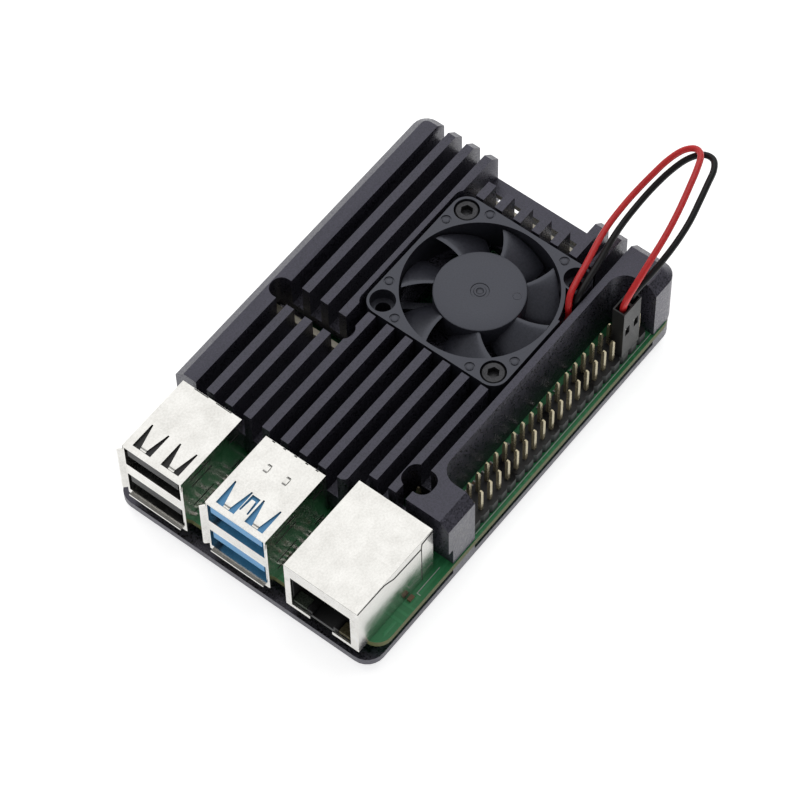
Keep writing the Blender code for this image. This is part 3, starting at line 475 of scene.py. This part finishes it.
mask_green = solder_mask("green_solder_mask", (0.04, 0.27, 0.1), (0.055, 0.33, 0.13))
bare_edge = finish(
    "glass_fibre_edge", (0.05, 0.06, 0.016), (0.15, 0.16, 0.045), (0.55, 0.75), 0.15, 0.01,
    2.0, speck=0.5, stretch=(1, 1, 4),
)
board = softened(
    "circuit_board", "green_board", [mask_green, bare_edge], width=0.05, segments=1,
    paint=lambda centre, normal: int(abs(normal.z) < 0.5),
)
fan_mask = solder_mask("fan_board_mask", (0.01, 0.1, 0.035), (0.02, 0.15, 0.055), 0.3)
dress_solid("fan_board", fan_mask)
print("board faces:", len(board.data.polygons))

# %% [markdown]
# ## Pins and plastic bars
#
# The header is two rows of square pins, plated a pale gold, in a row of black blocks. Each
# block holds one pair of pins and has its corners cut off, which gives the bar its notched
# sides. A pin is a profile carried round in four steps, so it comes out square, and it
# narrows to a blunt tip.


# %% Prisms and turned pieces
def prisms(name, outline, low, high, places, looks):
    """One flat outline swept up from low to high, and repeated at each (x, y, z) place."""
    outline, places = np.asarray(outline, float), np.asarray(places, float)
    count = len(outline)
    both = np.vstack([np.c_[outline, np.full(count, level)] for level in (low, high)])
    points = (places[:, None] + both[None]).reshape(-1, 3)
    around = np.arange(count)
    ahead = np.roll(around, -1)
    sides = np.stack([around, ahead, count + ahead, count + around], 1)
    faces = []
    for start in np.arange(len(places)) * 2 * count:
        faces += [list(start + around[::-1]), list(start + count + around)]
        faces += (start + sides).tolist()
    return make_piece(name, on_board(points), faces, looks, smooth_below=30)


def turned(name, profile, centres, looks, steps, body="case", start=0.0):
    """A profile of (radius, height) carried round an upright axis at each (x, y) centre.

    x is the radius times the angle's cosine and y the radius times its sine. The first of
    the steps stands at the start angle."""
    profile = np.asarray(profile, float)
    angle = start + np.linspace(0, 2 * np.pi, steps, endpoint=False)
    x = profile[:, :1] * np.cos(angle)
    y = profile[:, :1] * np.sin(angle)
    z = np.repeat(profile[:, 1:], steps, 1)
    ring = np.stack([x, y, z], -1).reshape(-1, 3)
    centres = np.c_[np.asarray(centres, float), np.zeros(len(centres))]
    points = (centres[:, None] + ring[None]).reshape(-1, 3)
    faces = repeated(grid_faces(len(profile), steps), len(ring), len(centres))
    return make_piece(name, on_board(points), faces, looks, body)


print("prism and turning helpers ready")

# %% The two headers
gold = finish(
    "pale_gold_plating", (0.38, 0.33, 0.21), (0.52, 0.46, 0.31), (0.2, 0.3), 1.2, 0.001, 3.0,
    metal=0.65, speck=0.3,
)
bar_black = finish(
    "black_bar_plastic", (0.009, 0.009, 0.01), (0.024, 0.024, 0.027), (0.4, 0.6), 0.12, 0.006,
    4.0,
)
PITCH, CORNER_CUT, BAR_FOOT = 2.54, 0.5, 0.05
PIN_HALF, PIN_FOOT, PIN_TOP = 0.32, 2.0, 8.5


def header(name, centre, columns, node):
    """A bar of eight-cornered blocks and two rows of square pins, whose places it returns."""
    half = PITCH / 2
    near, far = half - CORNER_CUT, PITCH - CORNER_CUT
    block = [
        (-half, -far), (-near, -PITCH), (near, -PITCH), (half, -far),
        (half, far), (near, PITCH), (-near, PITCH), (-half, far),
    ]
    middles = [
        (centre[0] + PITCH * (i - (columns - 1) / 2), centre[1], 0) for i in range(columns)
    ]
    bar = prisms(f"{name}_blocks", block, BAR_FOOT, PITCH, middles, bar_black)
    spots = [(x, y + side * half) for x, y, _ in middles for side in (-1, 1)]
    reach = math.sqrt(2) * PIN_HALF
    rings = [
        (0, PIN_FOOT), (reach, PIN_FOOT), (reach, PIN_TOP - 0.5), (reach / 2, PIN_TOP),
        (0, PIN_TOP),
    ]
    rows = turned(f"{name}_pins", rings, spots, gold, 4, start=math.pi / 4)
    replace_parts(bar, node)
    return spots


forty_spots = header("forty_pin", (32.5, 52.5), 20, "pin_header")
four_spots = header("four_pin", (61.25, 46.15), 2, "power_over_network_header")
print("pins:", len(forty_spots), "and", len(four_spots))

# %% [markdown]
# ## Tinned sheet metal
#
# The sockets are folded from thin tinned steel. It is bright, but the tin has a faint
# mottle and fine scratches from handling, so the roughness and the relief wander more than
# the colour does. The spring fingers in the double sockets' tops are bent down at their
# free ends, which is done by moving the points there. Inside, the tongues are plastic.

# %% Tin and the socket shells
tin = finish(
    "bright_tin", (0.6, 0.59, 0.56), (0.79, 0.78, 0.75), (0.15, 0.27), 0.4, 0.0004, 3.0,
    metal=1.0, speck=0.4,
)
FINGER_END, FINGER_FALL, FINGER_PULL = 85.5, 0.25, 0.1


def springs_down(points):
    """Lowers the free end of each spring finger by a quarter of a millimetre and pulls it in."""
    tips = (abs(points[:, 0] - FINGER_END) < 0.02) & (points[:, 2] > 15)
    return points - tips[:, None] * [FINGER_PULL, 0, FINGER_FALL]


for node, name, bend in (
    ("usb2_shell", "double_socket_shell_a", springs_down),
    ("usb3_shell", "double_socket_shell_b", springs_down),
    ("network_shell", "network_socket_shell", None),
    ("power_socket_shell", "power_socket_skin", None),
    ("video_socket_1_shell", "video_socket_skin_a", None),
    ("video_socket_2_shell", "video_socket_skin_b", None),
    ("radio_shield", "radio_lid", None),
    ("card_socket", "card_cage", None),
):
    softened(node, name, tin, width=0.07, bend=bend)
blue = finish(
    "blue_tongue_plastic", (0.06, 0.28, 0.58), (0.1, 0.38, 0.7), (0.3, 0.45), 0.2, 0.003, 4.0,
    speck=0.4,
)
for node, name, look, slot in (
    ("usb2_core", "double_socket_core_a", moulded, "black_plastic"),
    ("usb3_core", "double_socket_core_b", blue, "blue_plastic"),
    ("network_core", "network_socket_core", moulded, "black_plastic"),
    ("audio_jack", "audio_socket", moulded, "black_plastic"),
):
    softened(node, name, look, width=0.08)
print("sockets dressed")

# %% [markdown]
# ## Springs and loops
#
# Each finger in the top of a double socket ends in a small tip that is bent down, runs on
# the plug and turns up again. It is a narrow strip: a path in x and z, given a width and a
# thickness. The earth tab and the two raised loops on one socket's top are strips as well,
# and so are the eight gilt wires that wait at a slant inside the network socket.


# %% Strips
def strips(name, path, places, half, thick, looks):
    """Strips along a path of (x, z): at each y place, half wide to each side and thick in z."""
    path = np.asarray(path, float)
    down = np.vstack([path, path[::-1] - [0, thick]])
    points = [(x, y + side * half, z) for y in places for x, z in down for side in (-1, 1)]
    count = len(down)
    around = np.arange(count)
    ahead = np.roll(around, -1)
    sides = np.stack([2 * around, 2 * around + 1, 2 * ahead + 1, 2 * ahead], 1)
    i = around[:len(path) - 1]
    edge = np.stack([i, i + 1, count - 2 - i, count - 1 - i], 1)
    one = np.vstack([sides, 2 * edge, 2 * edge + 1])
    faces = repeated(one, 2 * count, len(places))
    return make_piece(name, on_board(points), faces, looks, smooth_below=50)


USB_MIDDLES, FINGER_OUT = (8.9, 27.2), 3.1
tip = [
    (85.2, 15.49), (85.45, 15.42), (85.65, 15.3), (85.82, 15.27), (85.98, 15.36), (86.08, 15.5),
]
fingers = [y + side * FINGER_OUT for y in USB_MIDDLES for side in (-1, 1)]
strips("spring_tips", tip, fingers, 0.62, 0.1, tin)
tab = [(84.4, 15.72), (83.6, 15.66), (82.9, 15.52), (82.45, 15.42), (82.25, 15.46)]
strips("earth_tab_tip", tab, [27.1], 0.3, 0.1, tin)
LOOPS = (25.0, 29.1)
loop = [
    (75.1, 15.68), (75.25, 15.86), (75.6, 15.94), (76.1, 15.94), (76.5, 15.84), (76.75, 15.69),
]
strips("raised_loops", loop, LOOPS, 0.42, 0.12, tin)
print("fingers:", len(fingers), "loops:", len(LOOPS))

# %% [markdown]
# ## Painted shade along folds and seams
#
# The shade in the gap where two edges of a sheet meet, and behind each raised loop, is painted
# as a dark line. On the double sockets the lines are thin blocks that stand three hundredths of a
# millimetre out of the metal, and on the network socket the seam steps along one side, so its
# painted shade is a thin tube along a path.

# %% Painted shade on fold lines and seams, and the network socket's wires
# Painted shade: one dark finish for the shaded gaps at folds and seams and behind the loops.
seam_shade = finish(
    "painted_fold_shade", (0.01, 0.01, 0.01), (0.03, 0.028, 0.025), (0.5, 0.7), 0.2, 0.004, 2.0,
)
ON_ROOF, DECK_ROOFS, USB_HALF = (15.7, 15.73), (6.8, 15.3), 6.5
lines = [(71.0, 71.16, 5.0, 8.1, *ON_ROOF), (71.0, 71.16, 9.8, 13.2, *ON_ROOF)]
lines += [(71.0, 71.2, y, y + 0.6, *ON_ROOF) for y in (22.2, 24.6, 27.0, 29.4, 31.6)]
# Painted shadow behind each raised loop, a dark line on the roof.
lines += [(74.95, 75.1, y - 0.4, y + 0.4, *ON_ROOF) for y in LOOPS]
for y in USB_MIDDLES:
    for side in (-1, 1):
        wall = y + side * USB_HALF
        low, high = sorted((wall - side * 0.05, wall + side * 0.03))
        for roof in DECK_ROOFS:
            for drop in (1.3, 3.6):
                lines.append((79.4, 84.8, low, high, roof - drop - 0.13, roof - drop + 0.13))
            lines.append((72.2, 74.6, low, high, roof - 2.9, roof - 2.5))
boxes("painted_fold_shade_lines", lines, seam_shade)

JACK_WALL, JACK_REAR = 53.56, 70.3
steps = (
    (87.65, 13.12), (83.9, 13.0), (80.4, 12.85), (77.8, 11.4), (74.2, 11.15), (70.4, 10.95),
    (70.15, 12.4), (68.6, 12.55), (67.2, 12.62),
)
# Painted shade along the seam where the jack's side sheet steps, and down its rear tab.
seam = np.array([(x, JACK_WALL, z) for x, z in steps])
tube("jack_seam_shade", seam, 0.09, seam_shade, sides=8)
rear = np.array([(JACK_REAR, JACK_WALL, z) for z in (10.9, 7.5, 4.0, 0.3)])
tube("jack_rear_seam_shade", rear, 0.07, seam_shade, sides=8)
wires = [41.6 + 1.02 * i for i in range(8)]
slant = [(73.0, 9.6), (76.0, 9.3), (79.0, 7.9), (82.0, 6.3), (82.6, 6.2)]
strips("jack_wires", slant, wires, 0.2, 0.18, gold)
print("fold lines:", len(lines), "wires:", len(wires))

# %% [markdown]
# ## Small things on the board
#
# Beside the sockets lie rows of tiny resistors and capacitors: a ceramic block with a
# tinned cap on each end, some lying along the board and some across it. A seeded draw picks
# which places of a coarse grid are taken, so that no two overlap.

# %% Chip parts
draw = np.random.default_rng(7)
ceramics = {
    "brown": finish(
        "brown_ceramic", (0.16, 0.09, 0.05), (0.3, 0.19, 0.11), (0.4, 0.6), 0.1, 0.004, 1.0,
    ),
    "black": finish(
        "black_ceramic", (0.01, 0.01, 0.011), (0.03, 0.03, 0.03), (0.3, 0.5), 0.1, 0.004, 1.0,
    ),
}
CHIP_LONG, CHIP_WIDE, CHIP_HIGH = 0.5, 0.25, 0.32
CAP_AT, CAP_LONG, CAP_WIDE = 0.42, 0.14, 0.28
rows = [(x, y) for x in np.arange(71.5, 84.5, 1.75) for y in (16.6, 18.2, 19.8, 34.9, 36.5)]
rows += [(x, 48.9) for x in np.arange(21.0, 56.0, 2.4)]
keep = [spot for spot in rows if draw.random() < 0.7]
blocks, caps = {"brown": [], "black": []}, []
for x, y in keep:
    lies_along = draw.random() < 0.6
    kind = "brown" if draw.random() < 0.5 else "black"
    long, wide = (CHIP_LONG, CHIP_WIDE) if lies_along else (CHIP_WIDE, CHIP_LONG)
    blocks[kind].append((x - long, x + long, y - wide, y + wide, 0.02, CHIP_HIGH))
    long, wide = (CAP_LONG, CAP_WIDE) if lies_along else (CAP_WIDE, CAP_LONG)
    for s in (-CAP_AT, CAP_AT):
        u, v = (x + s, y) if lies_along else (x, y + s)
        caps.append((u - long, u + long, v - wide, v + wide, 0.01, CHIP_HIGH + 0.03))
blocks["brown"].append((73.7, 74.9, 53.85, 54.55, 0.02, 0.6))
for kind, spans in blocks.items():
    boxes(f"{kind}_chip_parts", spans, ceramics[kind])
boxes("chip_part_caps", caps, tin)
print("chip parts:", len(keep) + 1)

# %% [markdown]
# ## Ink and solder
#
# White ink outlines the header and the sockets, a fiftieth of a millimetre thick. Each
# header pin ends below the board in a small cone of solder, which is a turned profile.

# %% Ink lines and solder cones
ink = finish("white_ink", (0.6, 0.62, 0.6), (0.8, 0.82, 0.8), (0.5, 0.7), 0.1, 0.004, 1.0)
INK = (0.0, 0.02)
boxes("ink_lines", [
    (6.0, 57.5, 55.2, 55.32, *INK), (66.4, 72.7, 54.3, 54.42, *INK),
    (72.7, 72.82, 54.3, 55.1, *INK), (6.0, 57.5, 49.55, 49.67, *INK),
    (69.6, 69.72, 15.9, 20.4, *INK), (70.0, 84.6, 17.4, 17.5, *INK),
], ink)
BOARD_UNDER = -1.41
cone = [(0, -2.5), (0.3, -2.45), (0.4, -2.0), (0.8, BOARD_UNDER), (0, BOARD_UNDER)]
turned("solder_cones", cone, forty_spots, tin, 12)
print("solder cones:", len(forty_spots))

# %% [markdown]
# ## The fan's frame
#
# A thin axial fan has a square frame in dark plastic, moulded with a satin skin. The pins
# that push it out of its mould leave small round marks on the face, two at each corner but
# one, where the leads come out. Each mark is a low disc with a sloping rim.

# %% The frame and its ejector marks
fan_skin = finish(
    "fan_moulding", (0.01, 0.01, 0.014), (0.034, 0.035, 0.047), (0.34, 0.46), 0.3, 0.012, 7.0,
    speck=0.7, Specular_IOR_Level=0.85, Specular_Tint=(0.85, 0.88, 1.0, 1.0),
)
fan_low, fan_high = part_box("fan_frame")
AXIS = np.array([fan_low.x + fan_high.x, fan_low.y + fan_high.y]) / 2
AXIS = (AXIS - BOARD_CORNER[:2]) / MM
FAN_TOP = (fan_high.z - BOARD_CORNER[2]) / MM
fan_frame = softened("fan_frame", "fan_square_frame", fan_skin, width=0.12)
sunk, slope, crest = FAN_TOP - 0.2, FAN_TOP - 0.1, FAN_TOP - 0.03
pip = [(0, sunk), (0, crest), (0.6, crest), (0.7, slope), (0.7, sunk), (0, sunk)]
IN, OUT = 8.2, 13.75
signs = (-1, 1)
spots = [(i * a, j * b) for i in signs for j in signs for a, b in ((IN, OUT), (OUT, IN))]
spots.remove((-IN, OUT))
pips = turned("ejector_pips", pip, np.array(spots) + AXIS, fan_skin, 28)
print("fan axis:", AXIS.round(2), "ejector marks:", len(spots))

# %% [markdown]
# ## The fan's hub
#
# The hub is one profile carried round the axis: a cup with a rounded rim, and in the middle
# of its top a shallow ring round the end of the shaft. One more small ring, off the middle,
# marks the place where the plastic entered the mould.

# %% The hub and its rings
HUB_FOOT, HUB_TOP = 9.1, FAN_TOP - 0.4
CUP, RIM = 7.4, 8.38
crown = [
    (RIM, -0.35), (8.28, -0.1), (8.05, 0), (4.0, 0.01), (1.7, 0), (1.6, -0.14), (1.15, -0.14),
    (1.05, -0.03), (0.72, -0.03), (0.62, -0.14), (0.3, -0.2), (0, -0.2), (0, -1.0), (CUP, -1.0),
]
hub = [(CUP, HUB_FOOT), (RIM, HUB_FOOT)]
hub += [(radius, HUB_TOP + rise) for radius, rise in crown] + [(CUP, HUB_FOOT)]
rotor = turned("fan_hub", hub, [AXIS], fan_skin, 96, "fan_rotor")
mark = [
    (radius, HUB_TOP + rise)
    for radius, rise in ((0.62, -0.05), (0.66, 0.05), (0.8, 0.05), (0.86, -0.05), (0.62, -0.05))
]
hub_mark = turned("hub_mark", mark, [AXIS + (-3.1, 5.8)], fan_skin, 28, "fan_rotor")
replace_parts(rotor, "fan_rotor")
print("hub faces:", len(rotor.data.polygons))

# %% [markdown]
# ## The fan's blades
#
# Each of the seven blades is a sheet over two parameters, u outward from the hub and v
# backward from its leading edge, that falls as it runs back and thins towards its tip.


# %% The blades
def blade_sheets(
    count=7, root=7.9, tip=13.85, top=13.3, fall=4.1, first=37, sweep=9, span=39.0, across=18,
    out=10,
):
    """Blades as closed sheets, in board millimetres and degrees.

    The radius grows evenly with u, the angle grows by sweep times u ** 1.3 and runs back by
    span times v, and the height falls by fall times v ** 1.2. A ring round each section goes
    back over the upper face and forward under the lower one, and its half thickness shrinks
    to nothing at both edges and at both ends."""
    u = np.r_[0, np.linspace(0, 1, out), 1][:, None]
    v = np.r_[np.linspace(0, 1, across), np.linspace(1, 0, across)[1:-1]][None]
    upper = np.r_[np.ones(across), -np.ones(across - 2)][None]
    thick = (0.32 - 0.1 * u) * np.sqrt(np.clip(1 - (2 * v - 1) ** 6, 0, 1)) * upper
    thick[[0, -1]] = 0
    radius = root + u * (tip - root) + 0 * v
    height = top - fall * v ** 1.2 + thick
    points = []
    for blade in range(count):
        angle = np.radians(first + sweep * u ** 1.3 - span * v) + blade * 2 * np.pi / count
        x, y = AXIS[0] + radius * np.cos(angle), AXIS[1] + radius * np.sin(angle)
        points.append(np.stack([x, y, height + 0 * x], -1).reshape(-1, 3))
    faces = repeated(grid_faces(u.size, v.size), u.size * v.size, count)
    points = on_board(np.vstack(points))
    return make_piece("fan_blades", points, faces, fan_skin, "fan_rotor", 50)


blades = blade_sheets()
print("blade faces:", len(blades.data.polygons))

# %% [markdown]
# ## Screws
#
# Black oxide cap screws with a hexagon socket. Oxide is darker than paint and keeps a
# metallic gleam on the worn edges of the head.

# %% Screws
oxide = finish(
    "black_oxide_steel", (0.02, 0.02, 0.022), (0.07, 0.07, 0.075), (0.28, 0.42), 0.2, 0.004,
    2.0, metal=0.7,
)
for place, count in (("case", 4), ("fan", 2)):
    for i in range(1, count + 1):
        screw = softened(f"{place}_screw_{i}", f"{place}_cap_screw_{i}", oxide, width=0.1)
    print(place, "screws:", count)

# %% [markdown]
# ## Everything else keeps its measured shape
#
# The chips, pads, tongues and inner fan pieces already have the right shape, so each only
# takes a finish with a grain of its own.

# %% Finishes for the small solids
epoxy = finish(
    "moulding_compound", (0.008, 0.008, 0.008), (0.022, 0.022, 0.022), (0.45, 0.65), 0.1,
    0.006, 3.0,
)
nickel = finish(
    "nickel_lid", (0.42, 0.42, 0.42), (0.62, 0.62, 0.61), (0.25, 0.42), 0.3, 0.004, 4.0,
    metal=1.0,
)
cream = finish(
    "cream_nylon", (0.55, 0.5, 0.38), (0.74, 0.7, 0.58), (0.4, 0.6), 0.3, 0.004, 4.0,
)
pad = finish(
    "heat_pad", (0.3, 0.35, 0.4), (0.42, 0.48, 0.53), (0.7, 0.9), 0.2, 0.03, 2.0,
)
ferrite = finish(
    "bonded_ferrite", (0.02, 0.019, 0.018), (0.05, 0.048, 0.045), (0.5, 0.7), 0.2, 0.01, 3.0,
)
bronze = finish(
    "sintered_bronze", (0.3, 0.17, 0.06), (0.5, 0.31, 0.13), (0.35, 0.55), 0.15, 0.006, 2.0,
    metal=1.0,
)
copper = finish(
    "enamelled_copper", (0.36, 0.12, 0.05), (0.66, 0.28, 0.13), (0.25, 0.4), 0.14, 0.03, 2.0,
    metal=1.0, stretch=(1, 1, 5),
)
shaft_steel = finish(
    "ground_steel", (0.4, 0.4, 0.41), (0.6, 0.6, 0.61), (0.2, 0.32), 0.2, 0.003, 2.0,
    metal=1.0,
)
green_lens = finish(
    "green_lens", (0.05, 0.065, 0.05), (0.09, 0.11, 0.085), (0.2, 0.35), 0.3, 0.002, 1.0,
)
amber_lens = finish(
    "amber_lens", (0.09, 0.08, 0.045), (0.15, 0.13, 0.07), (0.2, 0.35), 0.3, 0.002, 1.0,
)
red_lens = finish(
    "red_lens", (0.45, 0.03, 0.02), (0.7, 0.06, 0.04), (0.15, 0.25), 0.3, 0.002, 1.0,
)
print("finishes so far:", len(bpy.data.materials))

# %% Dress the small solids
LOOKS = {
    moulded: (
        "power_socket_tongue", "video_socket_1_tongue", "video_socket_2_tongue",
        "camera_latch", "display_latch",
    ),
    epoxy: ("memory_chip", "usb_chip", "network_chip", "power_chip", "memory_card"),
    nickel: ("processor",),
    cream: ("camera_connector", "display_connector"),
    pad: ("processor_pad", "memory_pad"),
    ferrite: ("fan_magnet", "power_coil"),
    bronze: ("fan_bearing",),
    copper: ("fan_windings",),
    shaft_steel: ("fan_shaft",),
    green_lens: ("network_lamp_green", "activity_lamp"),
    amber_lens: ("network_lamp_amber",),
    red_lens: ("power_lamp",),
}
for look, nodes in LOOKS.items():
    for node in nodes:
        dress_solid(node, look)
print("small solids dressed:", sum(len(n) for n in LOOKS.values()))

# %% [markdown]
# ## Floor and light
#
# A plain pale floor, a broad soft light high behind the case, which the tin and the fin
# tops mirror, and a pale sky that fills the rest. The floor gives off a little light of its
# own, so that it stays nearly white right up to the case.

# %% The floor and the lights
WHITE = (1, 1, 1, 1)
FLOOR_HALF, FLOOR_DROP = 3, 0.0001
floor_look = finish(
    "pale_floor", (0.86, 0.86, 0.86), (0.9, 0.9, 0.9), (0.7, 0.85), 2.0, 0.002, 60.0,
    Emission_Color=WHITE, Emission_Strength=0.72,
)
mesh = bpy.data.meshes.new("floor")
corners = [(FLOOR_HALF * x, FLOOR_HALF * y, 0) for x, y in ((-1, -1), (1, -1), (1, 1), (-1, 1))]
mesh.from_pydata(corners, [], [(0, 1, 2, 3)])
mesh.materials.append(floor_look)
floor = bpy.data.objects.new("floor", mesh)
floor.location.z = -FLOOR_DROP
bpy.context.collection.objects.link(floor)

light = bpy.data.lights.new("over_light", "AREA")
light.size, light.energy = 2.0, 12.5
lamp = bpy.data.objects.new("over_light", light)
lamp.location = (-0.62, -0.5, 1.28)
lamp.rotation_mode = "QUATERNION"
lamp.rotation_quaternion = (-lamp.location).to_track_quat("-Z", "Y")
bpy.context.collection.objects.link(lamp)
sky = bpy.data.worlds.new("pale_sky")
sky.use_nodes = True
background = sky.node_tree.nodes["Background"]
background.inputs["Color"].default_value = WHITE
background.inputs["Strength"].default_value = 0.3
bpy.context.scene.world = sky
bpy.context.scene.view_settings.view_transform = "Standard"
print("floor", 2 * FLOOR_HALF, "m wide, light", light.energy, "W")
